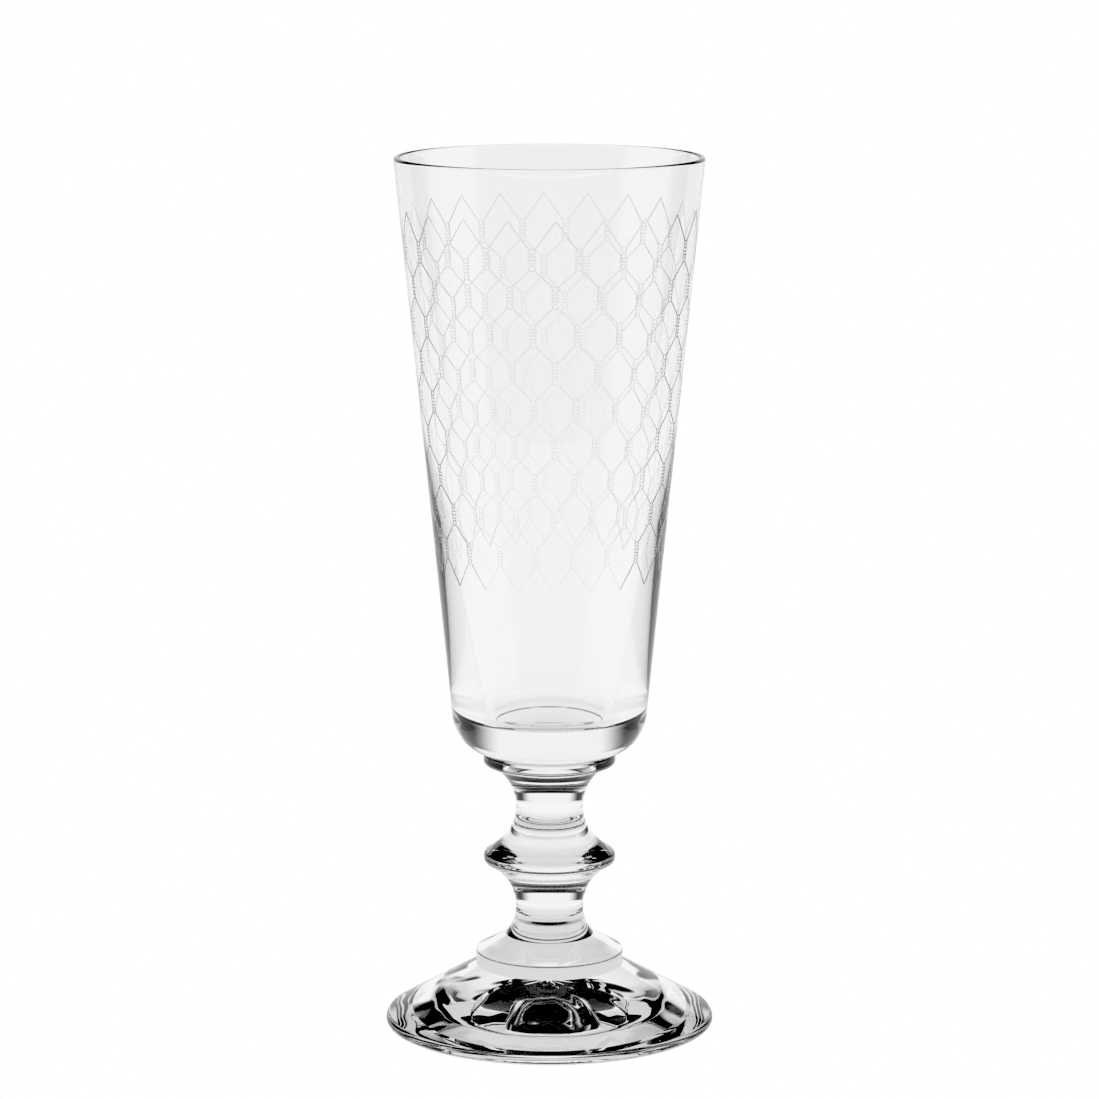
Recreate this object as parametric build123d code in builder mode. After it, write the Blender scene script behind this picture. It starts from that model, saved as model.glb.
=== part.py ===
"""Champagne flute: a tall conical bowl and a short stem with one knop, on a low conical foot.

Five gathers of clear glass are fused face to face on one axis: the bowl, a collar (merese) below it,
the knopped stem, a second collar, and the foot. Units are millimetres. +Z is up, and the origin is the
centre of the circle that the glass stands on.
"""

from build123d import *
import os
from math import cos, radians, sin

# The whole glass
total_height = 180.0

# Bowl: a straight cone outside, and inside a thin wall that thickens towards a solid base
rim_radius = 31.25
rim_wall = 1.15
rim_round = 0.55
heel_radius = 19.2
heel_height = 59.5
heel_round = 9.0
bowl_bottom = 58.0
bowl_seat_radius = 12.7
inner_bend_radius = 23.7
inner_bend_height = 117.0
inner_bend_round = 200.0
cavity_floor = 65.5
cavity_floor_radius = 13.1
cavity_floor_round = 2.8

# Collar below the bowl: a thin disc with a sloping underside
bowl_collar_radius = 13.5
bowl_collar_edge_bottom = 56.0
bowl_collar_round = 0.7
bowl_collar_bottom = 55.0

# Stem: two waists with a knop between them
upper_waist_radius = 6.85
upper_waist_height = 46.8
upper_groove_round = 9.95
lower_waist_radius = 6.9
lower_waist_height = 25.65
lower_groove_round = 10.2
knop_radius = 13.5
knop_edge_round = 1.25
knop_top_slope = 34.0
knop_bottom_slope = 31.0
stem_end_round = 8.9
stem_bottom = 19.9

# Collar above the foot: a conical pad with an upright edge
foot_collar_radius = 15.1
foot_collar_shoulder = 16.6
foot_collar_round = 0.6
foot_collar_bottom = 13.8

# Foot: a cone outside, a rounded rim, a narrow flat ring to stand on and a shallow hollow below.
# The hollow is flat at its crown, falls as a dome to its shoulder and as a gentler cone to its bend,
# and is steepest beside the ring.
foot_radius = 33.7
foot_rim_top = 3.1
foot_rim_top_round = 1.5
foot_rim_bottom = 1.6
foot_rim_bottom_round = 0.75
standing_ring_outer = 26.9
standing_ring_inner = 25.9
hollow_height = 4.75
hollow_crown_radius = 5.8
hollow_crown_round = 45.0
hollow_shoulder_radius = 15.0
hollow_shoulder_height = 2.7
hollow_shoulder_round = 60.0
hollow_bend_radius = 21.4
hollow_bend_height = 1.75
hollow_bend_round = 10.0


def groove_radius_at(waist_radius, groove_round, rise):
    """Radius of a groove's surface at a height of rise above or below its waist."""
    return waist_radius + groove_round - (groove_round**2 - rise**2) ** 0.5


def knop_flank(waist_radius, waist_height, groove_round, slope, upward):
    """Draws the outline from a waist to the knop's widest point and returns that point.

    It is a groove, a straight flank at the slope in degrees and half of the knop's round edge.
    upward is 1 for a knop above the waist and -1 for one below it.
    """
    groove = JernArc(
        start=(waist_radius, waist_height),
        tangent=(0, upward),
        radius=groove_round,
        arc_size=-upward * (90 - slope),
    )
    edge_inner_radius = knop_radius - knop_edge_round * (1 - sin(radians(slope)))
    flank_length = (edge_inner_radius - (groove @ 1).X) / cos(radians(slope))
    flank = PolarLine(start=groove @ 1, length=flank_length, angle=upward * slope)
    edge = JernArc(
        start=flank @ 1,
        tangent=flank % 1,
        radius=knop_edge_round,
        arc_size=upward * (90 - slope),
    )
    return edge @ 1


# Bowl
with BuildPart() as bowl:
    with BuildSketch(Plane.XZ):
        with BuildLine():
            FilletPolyline(
                (0, bowl_bottom),
                (bowl_seat_radius, bowl_bottom),
                (heel_radius, heel_height),
                (rim_radius, total_height),
                (rim_radius - rim_wall, total_height),
                (inner_bend_radius, inner_bend_height),
                (cavity_floor_radius, cavity_floor),
                (0, cavity_floor),
                radius=(0, heel_round, rim_round, rim_round, inner_bend_round, cavity_floor_round),
            )
            Line((0, cavity_floor), (0, bowl_bottom))
        make_face()
    revolve(axis=Axis.Z)
bowl.part.label = "bowl"

# Collar below the bowl, which the stem's top flare meets
stem_top_radius = groove_radius_at(
    upper_waist_radius, upper_groove_round, bowl_collar_bottom - upper_waist_height
)
with BuildPart() as bowl_collar:
    with BuildSketch(Plane.XZ):
        with BuildLine():
            FilletPolyline(
                (0, bowl_collar_bottom),
                (stem_top_radius, bowl_collar_bottom),
                (bowl_collar_radius, bowl_collar_edge_bottom),
                (bowl_collar_radius, bowl_bottom),
                (0, bowl_bottom),
                radius=(0, bowl_collar_round, bowl_collar_round),
            )
            Line((0, bowl_bottom), (0, bowl_collar_bottom))
        make_face()
    revolve(axis=Axis.Z)
bowl_collar.part.label = "bowl_collar"

# Stem, drawn from its top down to the lower collar
stem_bottom_radius = groove_radius_at(
    lower_waist_radius, stem_end_round, lower_waist_height - stem_bottom
)
with BuildPart() as stem:
    with BuildSketch(Plane.XZ):
        with BuildLine():
            Line((0, bowl_collar_bottom), (stem_top_radius, bowl_collar_bottom))
            RadiusArc(
                (stem_top_radius, bowl_collar_bottom),
                (upper_waist_radius, upper_waist_height),
                -upper_groove_round,
            )
            knop_top = knop_flank(
                upper_waist_radius, upper_waist_height, upper_groove_round, knop_top_slope, -1
            )
            knop_bottom = knop_flank(
                lower_waist_radius, lower_waist_height, lower_groove_round, knop_bottom_slope, 1
            )
            Line(knop_top, knop_bottom)
            RadiusArc(
                (lower_waist_radius, lower_waist_height),
                (stem_bottom_radius, stem_bottom),
                -stem_end_round,
            )
            Line((stem_bottom_radius, stem_bottom), (0, stem_bottom))
            Line((0, stem_bottom), (0, bowl_collar_bottom))
        make_face()
    revolve(axis=Axis.Z)
stem.part.label = "stem"

# Collar above the foot
with BuildPart() as foot_collar:
    with BuildSketch(Plane.XZ):
        with BuildLine():
            FilletPolyline(
                (0, foot_collar_bottom),
                (foot_collar_radius, foot_collar_bottom),
                (foot_collar_radius, foot_collar_shoulder),
                (stem_bottom_radius, stem_bottom),
                (0, stem_bottom),
                radius=(0, foot_collar_round, 0),
            )
            Line((0, stem_bottom), (0, foot_collar_bottom))
        make_face()
    revolve(axis=Axis.Z)
foot_collar.part.label = "foot_collar"

# Foot, drawn from the crown of its hollow outwards and up to the seat of the collar
with BuildPart() as foot:
    with BuildSketch(Plane.XZ):
        with BuildLine():
            FilletPolyline(
                (0, hollow_height),
                (hollow_crown_radius, hollow_height),
                (hollow_shoulder_radius, hollow_shoulder_height),
                (hollow_bend_radius, hollow_bend_height),
                (standing_ring_inner, 0),
                (standing_ring_outer, 0),
                (foot_radius, foot_rim_bottom),
                (foot_radius, foot_rim_top),
                (foot_collar_radius, foot_collar_bottom),
                (0, foot_collar_bottom),
                radius=(
                    hollow_crown_round,
                    hollow_shoulder_round,
                    hollow_bend_round,
                    0,
                    0,
                    foot_rim_bottom_round,
                    foot_rim_top_round,
                    0,
                ),
            )
            Line((0, foot_collar_bottom), (0, hollow_height))
        make_face()
    revolve(axis=Axis.Z)
foot.part.label = "foot"

os.makedirs("parts", exist_ok=True)
export_step(bowl.part, "parts/bowl.step")
export_step(bowl_collar.part, "parts/bowl_collar.step")
export_step(stem.part, "parts/stem.step")
export_step(foot_collar.part, "parts/foot_collar.step")
export_step(foot.part, "parts/foot.step")
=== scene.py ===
"""The looks of the champagne flute: five fused gathers of clear glass and the etched lattice on the bowl.

Units are metres, in the CAD's frame: +Z up, and the glass stands on z = 0 with its axis through the origin.
Each piece is turned from an outline, and the outline's own normals are kept on the mesh, so that the glass
refracts as a smooth surface does. Where two gathers are fused, both pieces end in a clear seam face.
"""

from math import acos, atan2, ceil, cos, degrees, dist, hypot, pi, radians, sin, tan

import bpy
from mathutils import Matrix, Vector
from mathutils.geometry import delaunay_2d_cdt


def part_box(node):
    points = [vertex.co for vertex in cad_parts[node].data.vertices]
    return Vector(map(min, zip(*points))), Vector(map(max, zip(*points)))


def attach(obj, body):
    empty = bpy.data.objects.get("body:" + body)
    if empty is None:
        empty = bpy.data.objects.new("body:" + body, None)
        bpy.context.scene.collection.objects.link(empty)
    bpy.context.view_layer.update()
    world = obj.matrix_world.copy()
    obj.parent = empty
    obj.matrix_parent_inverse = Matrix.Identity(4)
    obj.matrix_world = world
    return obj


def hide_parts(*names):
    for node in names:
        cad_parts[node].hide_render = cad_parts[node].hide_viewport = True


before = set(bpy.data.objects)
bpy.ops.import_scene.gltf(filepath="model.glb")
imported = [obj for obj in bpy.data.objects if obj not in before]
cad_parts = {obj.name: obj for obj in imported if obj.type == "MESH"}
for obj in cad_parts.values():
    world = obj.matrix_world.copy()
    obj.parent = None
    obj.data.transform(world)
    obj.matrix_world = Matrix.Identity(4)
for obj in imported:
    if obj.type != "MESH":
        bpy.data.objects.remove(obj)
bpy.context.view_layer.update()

MM = 0.001
ROOT = "root"

# How finely the glass is turned and the small etched rings are drawn
TURN_STEPS = 240
ARC_STEP = radians(3.0)
ETCHED_RING_STEPS = 16

# How near counts as the same, in metres, and in the etched strip's sideways measure for the last
SAME_RING = 1e-6
SAME_PLACE = 1e-7
ON_AXIS = 1e-8
SAME_SIDE = 1e-5

# Where each kind of glass stands in a piece's list of materials
PLAIN, FUSED, ETCHED = 0, 1, 2

# Boxes of the CAD's solids, for the heights of the fused faces and of the rim and for the widest radii
bowl_low, bowl_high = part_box("bowl")
collar_low, collar_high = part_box("bowl_collar")
stem_low, stem_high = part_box("stem")
pad_low, pad_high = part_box("foot_collar")
_, foot_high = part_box("foot")

# Bowl
rim_radius = 31.25 * MM
rim_wall = 1.15 * MM
rim_round = 0.55 * MM
heel_radius = 19.2 * MM
heel_height = 59.5 * MM
heel_round = 9.0 * MM
bowl_seat_radius = 12.7 * MM
inner_bend_radius = 23.7 * MM
inner_bend_height = 117.0 * MM
inner_bend_round = 200.0 * MM
cavity_floor = 65.5 * MM
cavity_floor_radius = 13.1 * MM
cavity_floor_round = 2.8 * MM

# Collar below the bowl
collar_edge_bottom = 56.0 * MM
collar_round = 0.7 * MM

# Stem
upper_waist_radius = 6.85 * MM
upper_waist_height = 46.8 * MM
upper_groove_round = 9.95 * MM
lower_waist_radius = 6.9 * MM
lower_waist_height = 25.65 * MM
lower_groove_round = 10.2 * MM
stem_end_round = 8.9 * MM
knop_edge_round = 1.25 * MM
knop_top_slope = radians(34.0)
knop_bottom_slope = radians(31.0)

# Collar above the foot
pad_shoulder = 16.6 * MM
pad_round = 0.6 * MM

# Foot
foot_rim_top = 3.1 * MM
foot_rim_top_round = 1.5 * MM
foot_rim_bottom = 1.6 * MM
foot_rim_bottom_round = 0.75 * MM
standing_ring_outer = 26.9 * MM
standing_ring_inner = 25.9 * MM
hollow_height = 4.75 * MM
hollow_crown_radius = 5.8 * MM
hollow_crown_round = 45.0 * MM
hollow_shoulder_radius = 15.0 * MM
hollow_shoulder_height = 2.7 * MM
hollow_shoulder_round = 60.0 * MM
hollow_bend_radius = 21.4 * MM
hollow_bend_height = 1.75 * MM
hollow_bend_round = 10.0 * MM

# Etched lattice: a net of six-sided cells, whose upright sides are small ladders, with a ring at each end
# and short rungs between them. Its lines run from lattice_top to lattice_bottom, and the band of triangles
# that holds them goes on by lattice_margin above and below. A triangle whose middle is deeper than
# least_depth is part of a line.
lattice_cells = 20
lattice_rows = 9
lattice_turn = radians(2.3)
lattice_top = 169.9 * MM
lattice_bottom = 95.3 * MM
top_slant = 5.4 * MM
bottom_slant = 4.9 * MM
ladder_length = 4.4 * MM
ladder_width = radians(2.5)
ladder_rungs = 3
rung_pitch = 0.7 * MM
rung_half_length = 0.55 * MM
ring_radius = 0.52 * MM
line_half_width = 0.13 * MM
line_depth = 0.045 * MM
least_depth = 0.001 * MM
ring_line_half_width = 0.11 * MM
lattice_margin = 1.5 * MM

# Glass
WHITE = (1.0, 1.0, 1.0, 1.0)
glass_ior = 1.5

# Smears in the polish: over smear_range of their noise, the roughness rises from none to smear_roughness
smear_scale = 90.0
smear_detail = 3.0
smear_stretch = (1.0, 1.0, 0.35)
smear_range = (0.55, 0.8)
smear_roughness = 0.02

# Frost in the etched lines, whose grey deepens between two heights; lower down it is lighter, a painted
# highlight
etched_highlight_heights = (120.0 * MM, 165.0 * MM)
etched_highlight_levels = (0.94, 0.76)
frost_scale = 6000.0
frost_detail = 2.0
frost_range = (0.3, 0.7)
frost_roughness = (0.22, 0.42)
grain_scale = 9000.0
grain_strength = 0.4
grain_height = 0.01 * MM

# Camera, with its lens and sensor in millimetres, as Blender takes them
camera_place = (0.0, -0.8593, 0.2532)
camera_tilt = radians(79.9)
camera_lens = 140.7
camera_sensor = 36.0
camera_near = 0.01
camera_far = 100.0

# The tone curve turns this level and all below it black
black_level = 0.035

# Lights round the glass. Each pair of angles, in degrees, is where a light starts to fade in or out and
# where it has done so: aside from the backdrop's middle, or up from the horizon.
backdrop_level = 0.93
backdrop_side_fade = (22.0, 44.0)
backdrop_top_fade = (18.0, 21.5)
side_level = 0.72
side_near_fade = (58.0, 72.0)
side_far_fade = (112.0, 126.0)
side_top_fade = (20.0, 50.0)
ceiling_level = 0.004

# Floor. Near the glass it is darker, a painted shadow, and it brightens from the glass outwards, up to the
# backdrop's level; between two distances to the left and right it turns to the side panels' level.
floor_half_size = 4.0
floor_gap = 0.1 * MM
floor_shadow_level = 0.72
floor_far_level = backdrop_level
floor_shadow_reach = 0.16
floor_side_fade = (0.4, 1.6)


# Outlines ---------------------------------------------------------------------------------------------
# An outline is a list of stretches. A stretch is (points, kind), and a point is (radius, height,
# radial normal, upward normal). An outline starts on the axis underneath, runs outwards and up with the
# glass on its left, and ends on the axis again.


def straight(start, end, kind="glass"):
    """A straight stretch between two (radius, height) places."""
    length = dist(start, end)
    normal = ((end[1] - start[1]) / length, -(end[0] - start[0]) / length)
    return [(*start, *normal), (*end, *normal)], kind


def seam(start, end):
    """A straight stretch that is fused to the next piece."""
    return straight(start, end, "seam")


def arc(start, end, centre):
    """A round stretch about a centre, the short way round."""
    radius = dist(start, centre)
    first = atan2(start[1] - centre[1], start[0] - centre[0])
    last = atan2(end[1] - centre[1], end[0] - centre[0])
    turn = (last - first + pi) % (2 * pi) - pi
    side = 1 if turn > 0 else -1
    steps = max(2, ceil(abs(turn) / ARC_STEP))
    points = []
    for step in range(steps + 1):
        angle = first + turn * step / steps
        c, s = cos(angle), sin(angle)
        points.append((centre[0] + radius * c, centre[1] + radius * s, side * c, side * s))
    return points, "glass"


def rounded(places, rounds):
    """Straight stretches through the places, with each inner corner rounded by its radius (0 is sharp)."""
    stretches = []
    here = Vector(places[0])
    for index in range(1, len(places)):
        corner = Vector(places[index])
        if index < len(places) - 1 and rounds[index - 1] > 0:
            back = (Vector(places[index - 1]) - corner).normalized()
            onward = (Vector(places[index + 1]) - corner).normalized()
            half = acos(back.dot(onward)) / 2
            reach = rounds[index - 1] / tan(half)
            start, end = corner + back * reach, corner + onward * reach
            centre = corner + (back + onward).normalized() * (rounds[index - 1] / sin(half))
            stretches.append(straight(tuple(here), tuple(start)))
            stretches.append(arc(tuple(start), tuple(end), tuple(centre)))
            here = end
        elif (corner - here).length > SAME_PLACE:
            stretches.append(straight(tuple(here), tuple(corner)))
            here = corner
    return stretches


def groove_radius_at(waist_radius, groove_round, rise):
    """Radius of a groove's surface at a height of rise above or below its waist."""
    return waist_radius + groove_round - (groove_round**2 - rise**2) ** 0.5


def groove(waist_radius, waist_height, groove_round, bottom, top):
    """The hollow round stretch of a waist between two heights."""
    centre = (waist_radius + groove_round, waist_height)
    start = (groove_radius_at(waist_radius, groove_round, bottom - waist_height), bottom)
    end = (groove_radius_at(waist_radius, groove_round, top - waist_height), top)
    return arc(start, end, centre)


def knop_flank(waist_radius, waist_height, groove_round, slope, upward):
    """The knop's side towards one waist: where the groove ends, where the flank ends, and the centre of
    the knop's edge. upward is 1 from the lower waist and -1 from the upper one."""
    groove_end = (
        waist_radius + groove_round * (1 - sin(slope)),
        waist_height + upward * groove_round * cos(slope),
    )
    run = stem_high.x - knop_edge_round * (1 - sin(slope)) - groove_end[0]
    flank_end = (groove_end[0] + run, groove_end[1] + upward * run * tan(slope))
    edge_centre = (stem_high.x - knop_edge_round, flank_end[1] + upward * knop_edge_round * cos(slope))
    return groove_end, flank_end, edge_centre


# Turning ----------------------------------------------------------------------------------------------


def turn(outline, first_angle):
    """Vertices, faces, corner normals and seam flags of a closed outline turned about the axis."""
    rings, bands = [], []
    for points, kind in outline:
        for index, (radius, height, out, up) in enumerate(points):
            joined = index == 0 and rings and dist(rings[-1], (radius, height)) < SAME_RING
            if not joined:
                rings.append((radius, height))
            here = len(rings) - 1
            if index:
                bands.append((before, here, normal_before, (out, up), kind))
            before, normal_before = here, (out, up)
    angles = [first_angle + 2 * pi * k / TURN_STEPS for k in range(TURN_STEPS)]
    around = [(cos(angle), sin(angle)) for angle in angles]
    vertices, starts = [], []
    for radius, height in rings:
        starts.append(len(vertices))
        if radius < ON_AXIS:
            vertices.append((0.0, 0.0, height))
        else:
            vertices += [(radius * c, radius * s, height) for c, s in around]

    def corner(ring, normal, k):
        """The vertex at step k of a ring, and the outline's normal turned to it."""
        c, s = around[k % TURN_STEPS]
        on_axis = rings[ring][0] < ON_AXIS
        index = starts[ring] + (0 if on_axis else k % TURN_STEPS)
        return index, (0.0, 0.0, normal[1]) if on_axis else (normal[0] * c, normal[0] * s, normal[1])

    faces, normals, seams = [], [], []
    for low, high, low_normal, high_normal, kind in bands:
        for k in range(TURN_STEPS):
            loop = [corner(low, low_normal, k), corner(low, low_normal, k + 1)]
            loop += [corner(high, high_normal, k + 1), corner(high, high_normal, k)]
            face, face_normals = [], []
            for index, normal in loop:
                if index not in face:
                    face.append(index)
                    face_normals.append(normal)
            if len(face) > 2:
                faces.append(face)
                normals += face_normals
                seams.append(kind == "seam")
    return vertices, faces, normals, seams


def make_piece(name, outline, glass, first_angle=0.0, etch=None):
    """A turned piece of glass whose seam faces are clear. etch, if given, adds the etched band to it."""
    vertices, faces, normals, seams = turn(outline, first_angle)
    slots = [FUSED if is_seam else PLAIN for is_seam in seams]
    materials = [glass, fused_seam]
    if etch:
        etch(vertices, faces, normals, slots)
        materials.append(etched_glass)
    mesh = bpy.data.meshes.new(name + "_glass")
    mesh.from_pydata(vertices, [], faces)
    for material in materials:
        mesh.materials.append(material)
    mesh.polygons.foreach_set("material_index", slots)
    mesh.polygons.foreach_set("use_smooth", [True] * len(faces))
    mesh.update()
    mesh.normals_split_custom_set(normals)
    piece = bpy.data.objects.new(name + "_glass", mesh)
    bpy.context.scene.collection.objects.link(piece)
    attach(piece, ROOT)
    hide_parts(name)
    return piece


# Materials --------------------------------------------------------------------------------------------


def new_material(name):
    """An empty node material and its tree."""
    material = bpy.data.materials.new(name)
    material.use_nodes = True
    material.node_tree.nodes.clear()
    return material, material.node_tree


def link_math(tree, operation, first, second=None):
    """A math node whose inputs are sockets or numbers."""
    node = tree.nodes.new("ShaderNodeMath")
    node.operation = operation
    for socket, value in zip(node.inputs, (first, second)):
        if value is None:
            continue
        if isinstance(value, (int, float)):
            socket.default_value = value
        else:
            tree.links.new(value, socket)
    return node.outputs[0]


def ramp(tree, source, low, high, out_low, out_high):
    """A node that turns a value between low and high smoothly into one between out_low and out_high."""
    node = tree.nodes.new("ShaderNodeMapRange")
    node.interpolation_type = "SMOOTHSTEP"
    for socket, value in zip(node.inputs[1:5], (low, high, out_low, out_high)):
        socket.default_value = value
    tree.links.new(source, node.inputs[0])
    return node.outputs[0]


def noise(tree, scale, detail, stretch=(1.0, 1.0, 1.0)):
    """Noise in the object's own space, stretched along its axes."""
    place = tree.nodes.new("ShaderNodeTexCoord")
    mapping = tree.nodes.new("ShaderNodeMapping")
    mapping.inputs["Scale"].default_value = stretch
    texture = tree.nodes.new("ShaderNodeTexNoise")
    texture.inputs["Scale"].default_value = scale
    texture.inputs["Detail"].default_value = detail
    tree.links.new(place.outputs["Object"], mapping.inputs["Vector"])
    tree.links.new(mapping.outputs["Vector"], texture.inputs["Vector"])
    return texture.outputs["Fac"]


def ripples(tree, around, along):
    """Noise that runs in rings about the axis, as turned glass ripples: around is its rate round the
    circle and along its rate per metre up and outwards."""
    place = tree.nodes.new("ShaderNodeTexCoord")
    parts = tree.nodes.new("ShaderNodeSeparateXYZ")
    flat = tree.nodes.new("ShaderNodeCombineXYZ")
    tree.links.new(place.outputs["Object"], parts.inputs[0])
    tree.links.new(parts.outputs["X"], flat.inputs["X"])
    tree.links.new(parts.outputs["Y"], flat.inputs["Y"])
    reach = tree.nodes.new("ShaderNodeVectorMath")
    reach.operation = "LENGTH"
    tree.links.new(flat.outputs[0], reach.inputs[0])
    way = tree.nodes.new("ShaderNodeVectorMath")
    way.operation = "NORMALIZE"
    tree.links.new(flat.outputs[0], way.inputs[0])
    turned = tree.nodes.new("ShaderNodeVectorMath")
    turned.operation = "SCALE"
    turned.inputs["Scale"].default_value = around
    tree.links.new(way.outputs[0], turned.inputs[0])
    outwards = link_math(tree, "ADD", reach.outputs["Value"], parts.outputs["Z"])
    lift = tree.nodes.new("ShaderNodeCombineXYZ")
    tree.links.new(link_math(tree, "MULTIPLY", outwards, along), lift.inputs["Z"])
    total = tree.nodes.new("ShaderNodeVectorMath")
    tree.links.new(turned.outputs[0], total.inputs[0])
    tree.links.new(lift.outputs[0], total.inputs[1])
    texture = tree.nodes.new("ShaderNodeTexNoise")
    texture.inputs["Scale"].default_value = 1.0
    texture.inputs["Detail"].default_value = 0.0
    tree.links.new(total.outputs[0], texture.inputs["Vector"])
    return texture.outputs["Fac"]


def glass_material(name, around, along, ripple_height):
    """Clear glass with the slow waves of hand work and faint smears in its polish."""
    material, tree = new_material(name)
    shader = tree.nodes.new("ShaderNodeBsdfPrincipled")
    output = tree.nodes.new("ShaderNodeOutputMaterial")
    shader.inputs["Base Color"].default_value = WHITE
    shader.inputs["Transmission Weight"].default_value = 1.0
    shader.inputs["IOR"].default_value = glass_ior
    blotches = noise(tree, smear_scale, smear_detail, smear_stretch)
    tree.links.new(ramp(tree, blotches, *smear_range, 0.0, smear_roughness), shader.inputs["Roughness"])
    bump = tree.nodes.new("ShaderNodeBump")
    bump.inputs["Strength"].default_value = 1.0
    bump.inputs["Distance"].default_value = ripple_height
    tree.links.new(ripples(tree, around, along), bump.inputs["Height"])
    tree.links.new(bump.outputs["Normal"], shader.inputs["Normal"])
    tree.links.new(shader.outputs[0], output.inputs["Surface"])
    return material


def etched_material():
    """The frosted floor of the etched lines, with a painted highlight that lightens their grey low on the
    bowl.
    """
    material, tree = new_material("etched_glass")
    shader = tree.nodes.new("ShaderNodeBsdfPrincipled")
    output = tree.nodes.new("ShaderNodeOutputMaterial")
    place = tree.nodes.new("ShaderNodeTexCoord")
    parts = tree.nodes.new("ShaderNodeSeparateXYZ")
    tint = tree.nodes.new("ShaderNodeCombineColor")
    tree.links.new(place.outputs["Object"], parts.inputs[0])
    # Painted highlight: the etched lines' grey is lighter low on the bowl, as if washed out by light
    etched_tint_painted_highlight = ramp(tree, parts.outputs["Z"], *etched_highlight_heights, *etched_highlight_levels)
    for channel in tint.inputs:
        tree.links.new(etched_tint_painted_highlight, channel)
    tree.links.new(tint.outputs[0], shader.inputs["Base Color"])
    shader.inputs["Transmission Weight"].default_value = 1.0
    shader.inputs["IOR"].default_value = glass_ior
    frost = ramp(tree, noise(tree, frost_scale, frost_detail), *frost_range, *frost_roughness)
    tree.links.new(frost, shader.inputs["Roughness"])
    bump = tree.nodes.new("ShaderNodeBump")
    bump.inputs["Strength"].default_value = grain_strength
    bump.inputs["Distance"].default_value = grain_height
    tree.links.new(noise(tree, grain_scale, frost_detail), bump.inputs["Height"])
    tree.links.new(bump.outputs["Normal"], shader.inputs["Normal"])
    tree.links.new(shader.outputs[0], output.inputs["Surface"])
    return material


def seam_material():
    """A fused face, which light passes as if it weren't there."""
    material, tree = new_material("fused_seam")
    shader = tree.nodes.new("ShaderNodeBsdfTransparent")
    output = tree.nodes.new("ShaderNodeOutputMaterial")
    tree.links.new(shader.outputs[0], output.inputs["Surface"])
    return material


fused_seam = seam_material()
etched_glass = etched_material()
bowl_glass = glass_material("bowl_glass_clear", around=1.2, along=40.0, ripple_height=0.02 * MM)
collar_glass = glass_material("collar_glass_clear", around=2.0, along=80.0, ripple_height=0.004 * MM)
stem_glass = glass_material("stem_glass_clear", around=2.0, along=80.0, ripple_height=0.004 * MM)
pad_glass = glass_material("pad_glass_clear", around=2.5, along=120.0, ripple_height=0.02 * MM)
foot_glass = glass_material("foot_glass_clear", around=3.5, along=110.0, ripple_height=0.18 * MM)


# Lattice ----------------------------------------------------------------------------------------------
# The net is one strip of the bowl, half a cell wide and as tall as the band, repeated and mirrored around.
# A place in the strip is (u, z): u runs sideways from 0 to 1 over half a cell, and z is metres from the
# band's top, so it is never above 0. strip_width is half a cell in metres, partway down the band.

half_cell = pi / lattice_cells
row_pitch = (lattice_top - top_slant - ladder_length - bottom_slant - lattice_bottom) / (lattice_rows - 1)
bowl_slope = (rim_radius - heel_radius) / (bowl_high.z - heel_height)
band_top = lattice_top + lattice_margin
band_bottom = lattice_bottom - lattice_margin
band_height = band_top - band_bottom
strip_width = half_cell * (rim_radius + inner_bend_radius) / 2
strip_columns = TURN_STEPS // (2 * lattice_cells)
half_gap = ladder_width / 2 / half_cell
lattice_start = lattice_turn - pi / 2


def bowl_radius_at(height):
    """Radius of the bowl's outer cone at a height."""
    return heel_radius + bowl_slope * (height - heel_height)


def distance_to_line(point, start, end):
    """Distance in metres from a place in the strip to the straight line between two others."""
    px, pz = point[0] * strip_width, point[1]
    ax, az, bx, bz = start[0] * strip_width, start[1], end[0] * strip_width, end[1]
    along = ((px - ax) * (bx - ax) + (pz - az) * (bz - az)) / ((bx - ax) ** 2 + (bz - az) ** 2)
    along = min(1.0, max(0.0, along))
    return hypot(px - ax - along * (bx - ax), pz - az - along * (bz - az))


def ring_line(u, z):
    """The places round a ladder's ring whose centre is at (u, z)."""
    angles = [2 * pi * k / ETCHED_RING_STEPS for k in range(ETCHED_RING_STEPS + 1)]
    return [(u + ring_radius * cos(a) / strip_width, z + ring_radius * sin(a)) for a in angles]


def lattice_lines():
    """The lines of one strip, as (places, half width): the slant above the first row, then each row's
    ladder, which alternates between the strip's sides, and the slant below it."""
    lines = [([(0.0, -lattice_margin), (1 - half_gap, -lattice_margin - top_slant)], line_half_width)]
    rung_reach = rung_half_length / strip_width
    for row in range(lattice_rows):
        top = -lattice_margin - top_slant - row * row_pitch
        bottom = top - ladder_length
        middle, inwards = (1.0, -1.0) if row % 2 == 0 else (0.0, 1.0)
        beside = middle + inwards * half_gap
        lines.append((ring_line(middle, top - ring_radius), ring_line_half_width))
        lines.append((ring_line(middle, bottom + ring_radius), ring_line_half_width))
        for rung in range(ladder_rungs):
            height = (top + bottom) / 2 + (rung - (ladder_rungs - 1) / 2) * rung_pitch
            lines.append(([(middle - rung_reach, height), (middle + rung_reach, height)], line_half_width))
        if row < lattice_rows - 1:
            end = (1.0 - middle - inwards * half_gap, top - row_pitch)
        else:
            end = (1.0 - middle, bottom - bottom_slant)
        lines.append(([(beside, bottom), end], line_half_width))
    return lines


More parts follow.
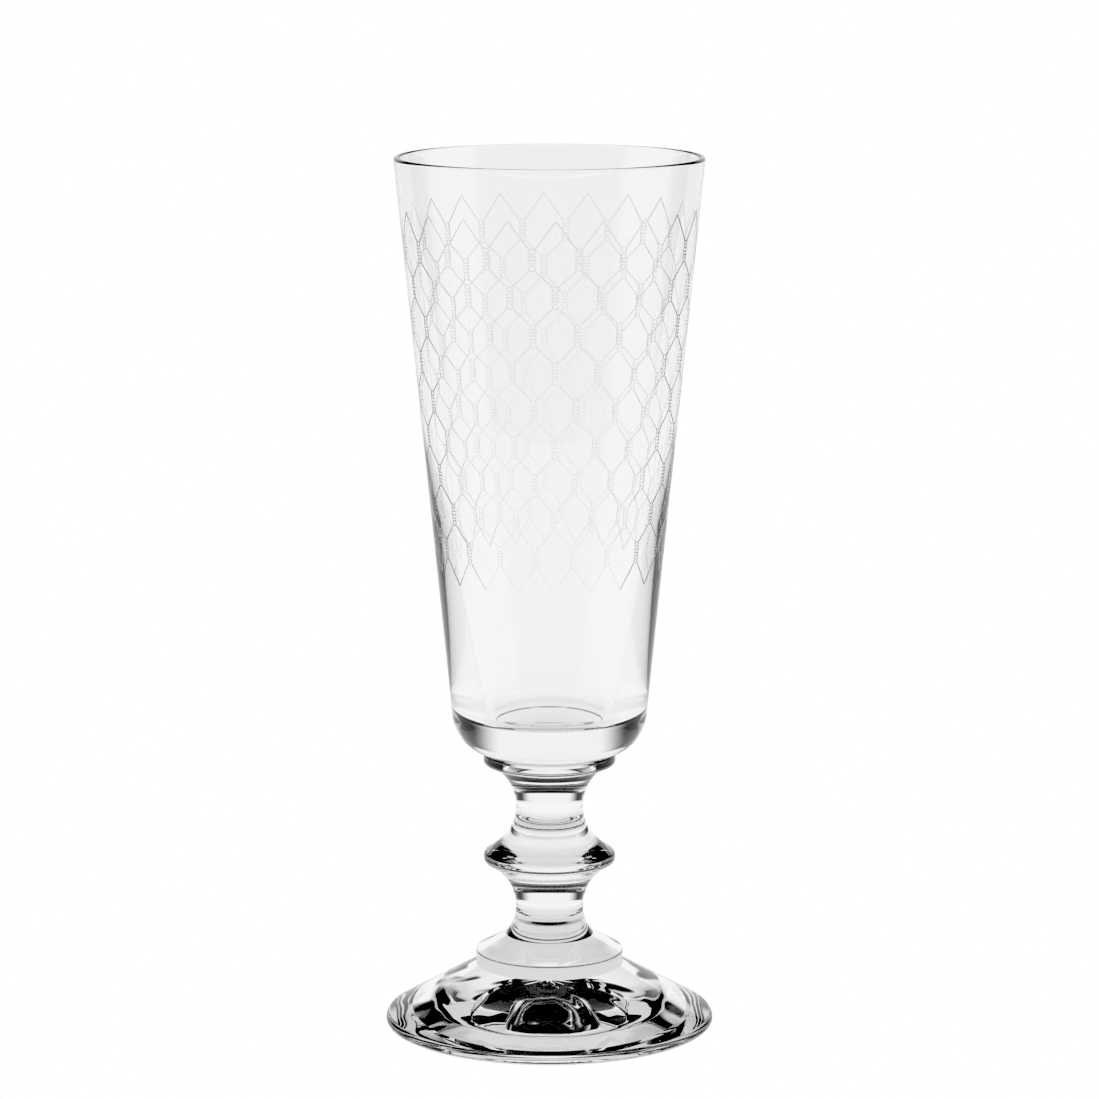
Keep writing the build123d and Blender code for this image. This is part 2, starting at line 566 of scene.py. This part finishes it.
def make_strip(lines):
    """Places, depths and triangles of one strip; a triangle is (corners, whether it is in a line)."""
    points, edges = [], []

    def add_path(path):
        """Gives the triangles edges along a path."""
        first = len(points)
        points.extend(Vector((u * strip_width, z)) for u, z in path)
        edges.extend((first + k, first + k + 1) for k in range(len(path) - 1))

    for column in range(strip_columns + 1):
        u = column / strip_columns
        add_path([(u, 0.0), (u, -band_height)])
    add_path([(0.0, 0.0), (1.0, 0.0)])
    add_path([(0.0, -band_height), (1.0, -band_height)])
    for path, half_width in lines:
        for (u0, z0), (u1, z1) in zip(path, path[1:]):
            length = hypot((u1 - u0) * strip_width, z1 - z0)
            side_u = -(z1 - z0) / length * half_width / strip_width
            side_z = (u1 - u0) * strip_width / length * half_width
            for shift in (-1, 0, 1):
                move_u, move_z = shift * side_u, shift * side_z
                add_path([(u0 + move_u, z0 + move_z), (u1 + move_u, z1 + move_z)])
    fill_hull = 0
    made_points, _, made_faces, *_ = delaunay_2d_cdt(points, edges, [], fill_hull, SAME_PLACE)
    places = [(x / strip_width, z) for x, z in made_points]

    def depth(place):
        """How deep the etching is at a place. Lines that start more than two rows away don't reach it."""
        best = 0.0
        for path, half_width in lines:
            if abs(place[1] - path[0][1]) > 2 * row_pitch:
                continue
            for start, end in zip(path, path[1:]):
                share = 1 - distance_to_line(place, start, end) / half_width
                best = max(best, share * line_depth * half_width / line_half_width)
        return best

    triangles = []
    for face in made_faces:
        u = sum(places[k][0] for k in face) / 3
        z = sum(places[k][1] for k in face) / 3
        if 0 < u < 1 and -band_height < z < 0:
            triangles.append((face, depth((u, z)) > least_depth))
    return places, [depth(place) for place in places], triangles


def band_ring_vertices(vertices):
    """The turned bowl's vertices at the band's top and bottom, by their step round the ring and height."""
    ring_vertices = {}
    for index, (x, y, z) in enumerate(vertices):
        for edge in (band_top, band_bottom):
            if abs(z - edge) < SAME_PLACE and abs(hypot(x, y) - bowl_radius_at(edge)) < SAME_PLACE:
                step = round((atan2(y, x) - lattice_start) / (2 * pi) * TURN_STEPS) % TURN_STEPS
                ring_vertices[step, edge] = index
    return ring_vertices


def add_lattice(vertices, faces, normals, slots):
    """Fills the gap that the bowl's outline leaves at the band, sharing the rings of vertices beside it."""
    places, depths, triangles = make_strip(lattice_lines())
    cone_out, cone_up = 1.0 / hypot(1.0, bowl_slope), -bowl_slope / hypot(1.0, bowl_slope)
    ring_vertices = band_ring_vertices(vertices)
    index_of = {}

    def vertex(half, k):
        """The index of the strip's vertex k in one half cell, made when it is first asked for."""
        u, z = places[k]
        across = 1 - u if half % 2 else u
        level = band_top + z
        for edge in (band_top, band_bottom):
            if abs(level - edge) < SAME_PLACE:
                return ring_vertices[round((half + across) * strip_columns) % TURN_STEPS, edge]
        side = round(across)
        shared = abs(across - side) < SAME_SIDE
        name = ("side", (half + side) % (2 * lattice_cells), k) if shared else (half, k)
        if name not in index_of:
            index_of[name] = len(vertices)
            angle = lattice_start + (half + (side if shared else across)) * half_cell
            radius = bowl_radius_at(level) - depths[k] * cone_out
            vertices.append((radius * cos(angle), radius * sin(angle), level - depths[k] * cone_up))
        return index_of[name]

    for half in range(2 * lattice_cells):
        for triangle, in_line in triangles:
            face = [vertex(half, k) for k in (reversed(triangle) if half % 2 else triangle)]
            faces.append(face)
            if in_line:
                a, b, c = (Vector(vertices[k]) for k in face)
                normals += [tuple((b - a).cross(c - a).normalized())] * 3
            else:
                for k in face:
                    x, y, _ = vertices[k]
                    normals.append((cone_out * x / hypot(x, y), cone_out * y / hypot(x, y), cone_up))
            slots.append(ETCHED if in_line else PLAIN)


# Pieces -----------------------------------------------------------------------------------------------

# Radii of the stem's two fused faces
stem_bottom_radius = groove_radius_at(
    lower_waist_radius, stem_end_round, lower_waist_height - stem_low.z
)
stem_top_radius = groove_radius_at(
    upper_waist_radius, upper_groove_round, stem_high.z - upper_waist_height
)


def make_bowl():
    """The bowl, turned with a gap in its outside at the band, which the lattice fills."""
    outline = [seam((0.0, bowl_low.z), (bowl_seat_radius, bowl_low.z))]
    outer = rounded(
        [
            (bowl_seat_radius, bowl_low.z),
            (heel_radius, heel_height),
            (rim_radius, bowl_high.z),
            (rim_radius - rim_wall, bowl_high.z),
            (inner_bend_radius, inner_bend_height),
            (cavity_floor_radius, cavity_floor),
            (0.0, cavity_floor),
        ],
        [heel_round, rim_round, rim_round, inner_bend_round, cavity_floor_round],
    )
    for points, kind in outer:
        low, high = points[0], points[-1]
        if kind == "glass" and len(points) == 2 and low[1] < band_bottom and high[1] > band_top:
            outline.append(straight(low[:2], (bowl_radius_at(band_bottom), band_bottom)))
            outline.append(straight((bowl_radius_at(band_top), band_top), high[:2]))
        else:
            outline.append((points, kind))
    return make_piece("bowl", outline, bowl_glass, lattice_start, add_lattice)


def make_bowl_collar():
    """The thin disc between the stem and the bowl, wider above than where it meets the stem."""
    outline = [seam((0.0, collar_low.z), (stem_top_radius, collar_low.z))]
    outline += rounded(
        [
            (stem_top_radius, collar_low.z),
            (collar_high.x, collar_edge_bottom),
            (collar_high.x, collar_high.z),
            (bowl_seat_radius, collar_high.z),
        ],
        [collar_round, collar_round],
    )
    outline.append(seam((bowl_seat_radius, collar_high.z), (0.0, collar_high.z)))
    return make_piece("bowl_collar", outline, collar_glass)


def make_stem():
    """The stem: a waist below and one above, and the knop between them."""
    lower_waist = (lower_waist_radius, lower_waist_height)
    upper_waist = (upper_waist_radius, upper_waist_height)
    under_start, under_end, under_centre = knop_flank(*lower_waist, lower_groove_round, knop_bottom_slope, 1)
    over_start, over_end, over_centre = knop_flank(*upper_waist, upper_groove_round, knop_top_slope, -1)
    under_edge = (stem_high.x, under_centre[1])
    over_edge = (stem_high.x, over_centre[1])
    outline = [
        seam((0.0, stem_low.z), (stem_bottom_radius, stem_low.z)),
        groove(*lower_waist, stem_end_round, stem_low.z, lower_waist_height),
        groove(*lower_waist, lower_groove_round, lower_waist_height, under_start[1]),
        straight(under_start, under_end),
        arc(under_end, under_edge, under_centre),
        straight(under_edge, over_edge),
        arc(over_edge, over_end, over_centre),
        straight(over_end, over_start),
        groove(*upper_waist, upper_groove_round, over_start[1], upper_waist_height),
        groove(*upper_waist, upper_groove_round, upper_waist_height, stem_high.z),
        seam((stem_top_radius, stem_high.z), (0.0, stem_high.z)),
    ]
    return make_piece("stem", outline, stem_glass)


def make_foot_collar():
    """The pad between the foot and the stem: an upright edge under a cone."""
    outline = [seam((0.0, pad_low.z), (pad_high.x, pad_low.z))]
    outline += rounded(
        [(pad_high.x, pad_low.z), (pad_high.x, pad_shoulder), (stem_bottom_radius, pad_high.z)],
        [pad_round],
    )
    outline.append(seam((stem_bottom_radius, pad_high.z), (0.0, pad_high.z)))
    return make_piece("foot_collar", outline, pad_glass)


def make_foot():
    """The foot, from the top of its hollow outwards to the standing ring and up over the rim."""
    outline = rounded(
        [
            (0.0, hollow_height),
            (hollow_crown_radius, hollow_height),
            (hollow_shoulder_radius, hollow_shoulder_height),
            (hollow_bend_radius, hollow_bend_height),
            (standing_ring_inner, 0.0),
            (standing_ring_outer, 0.0),
            (foot_high.x, foot_rim_bottom),
            (foot_high.x, foot_rim_top),
            (pad_high.x, foot_high.z),
        ],
        [
            hollow_crown_round,
            hollow_shoulder_round,
            hollow_bend_round,
            0,
            0,
            foot_rim_bottom_round,
            foot_rim_top_round,
        ],
    )
    outline.append(seam((pad_high.x, foot_high.z), (0.0, foot_high.z)))
    return make_piece("foot", outline, foot_glass)


make_bowl()
make_bowl_collar()
make_stem()
make_foot_collar()
make_foot()


# Studio -----------------------------------------------------------------------------------------------


def make_floor():
    """A floor that is pure white to the camera. The glass sees it darker at its sides, and near itself a
    painted shadow.
    """
    s = floor_half_size
    corners = [(x, y, -floor_gap) for x, y in ((-s, -s), (s, -s), (s, s), (-s, s))]
    mesh = bpy.data.meshes.new("floor")
    mesh.from_pydata(corners, [], [(0, 1, 2, 3)])
    floor = bpy.data.objects.new("floor", mesh)
    bpy.context.scene.collection.objects.link(floor)
    material, tree = new_material("white_floor_painted_shadow")
    place = tree.nodes.new("ShaderNodeNewGeometry")
    reach = tree.nodes.new("ShaderNodeVectorMath")
    reach.operation = "LENGTH"
    tree.links.new(place.outputs["Position"], reach.inputs[0])
    # Painted shadow: the floor glows dimmer under and near the glass, brightening outwards
    level = ramp(tree, reach.outputs["Value"], 0.0, floor_shadow_reach, floor_shadow_level, floor_far_level)
    across = tree.nodes.new("ShaderNodeSeparateXYZ")
    tree.links.new(place.outputs["Position"], across.inputs[0])
    sideways = link_math(tree, "ABSOLUTE", across.outputs["X"])
    share = ramp(tree, sideways, *floor_side_fade, 1.0, side_level / floor_far_level)
    level = link_math(tree, "MULTIPLY", level, share)
    path = tree.nodes.new("ShaderNodeLightPath")
    shown = link_math(tree, "MAXIMUM", level, path.outputs["Is Camera Ray"])
    glow = tree.nodes.new("ShaderNodeEmission")
    output = tree.nodes.new("ShaderNodeOutputMaterial")
    tree.links.new(shown, glow.inputs["Strength"])
    tree.links.new(glow.outputs[0], output.inputs["Surface"])
    mesh.materials.append(material)


def make_world():
    """What the glass sees: a bright backdrop, two side panels and dark gaps between them, under a dark
    ceiling. To the camera the world is pure white."""
    world = bpy.data.worlds.new("studio")
    bpy.context.scene.world = world
    world.use_nodes = True
    tree = world.node_tree
    tree.nodes.clear()
    place = tree.nodes.new("ShaderNodeTexCoord")
    parts = tree.nodes.new("ShaderNodeSeparateXYZ")
    tree.links.new(place.outputs["Generated"], parts.inputs[0])
    one_radian = degrees(1.0)
    rise = link_math(tree, "MULTIPLY", link_math(tree, "ARCSINE", parts.outputs["Z"]), one_radian)
    way = link_math(tree, "ARCTAN2", parts.outputs["X"], parts.outputs["Y"])
    aside = link_math(tree, "ABSOLUTE", link_math(tree, "MULTIPLY", way, one_radian))
    backdrop = ramp(tree, aside, *backdrop_side_fade, backdrop_level, 0.0)
    backdrop = link_math(tree, "MULTIPLY", backdrop, ramp(tree, rise, *backdrop_top_fade, 1.0, 0.0))
    side = ramp(tree, aside, *side_near_fade, 0.0, side_level)
    side = link_math(tree, "MULTIPLY", side, ramp(tree, aside, *side_far_fade, 1.0, 0.0))
    side = link_math(tree, "MULTIPLY", side, ramp(tree, rise, *side_top_fade, 1.0, 0.0))
    level = link_math(tree, "ADD", link_math(tree, "ADD", backdrop, side), ceiling_level)
    path = tree.nodes.new("ShaderNodeLightPath")
    level = link_math(tree, "MAXIMUM", level, path.outputs["Is Camera Ray"])
    light = tree.nodes.new("ShaderNodeBackground")
    light.inputs["Color"].default_value = WHITE
    output = tree.nodes.new("ShaderNodeOutputWorld")
    tree.links.new(level, light.inputs["Strength"])
    tree.links.new(light.outputs[0], output.inputs["Surface"])


def make_camera():
    """The camera, placed and tilted as the photo's was."""
    data = bpy.data.cameras.new("camera")
    camera = bpy.data.objects.new("camera", data)
    bpy.context.scene.collection.objects.link(camera)
    camera.location = camera_place
    camera.rotation_euler = (camera_tilt, 0.0, 0.0)
    data.lens = camera_lens
    data.sensor_width = camera_sensor
    data.clip_start = camera_near
    data.clip_end = camera_far
    bpy.context.scene.camera = camera


make_floor()
make_world()
make_camera()
view = bpy.context.scene.view_settings
view.view_transform = "Standard"
view.use_curve_mapping = True
view.curve_mapping.black_level = (black_level, black_level, black_level)
view.curve_mapping.update()
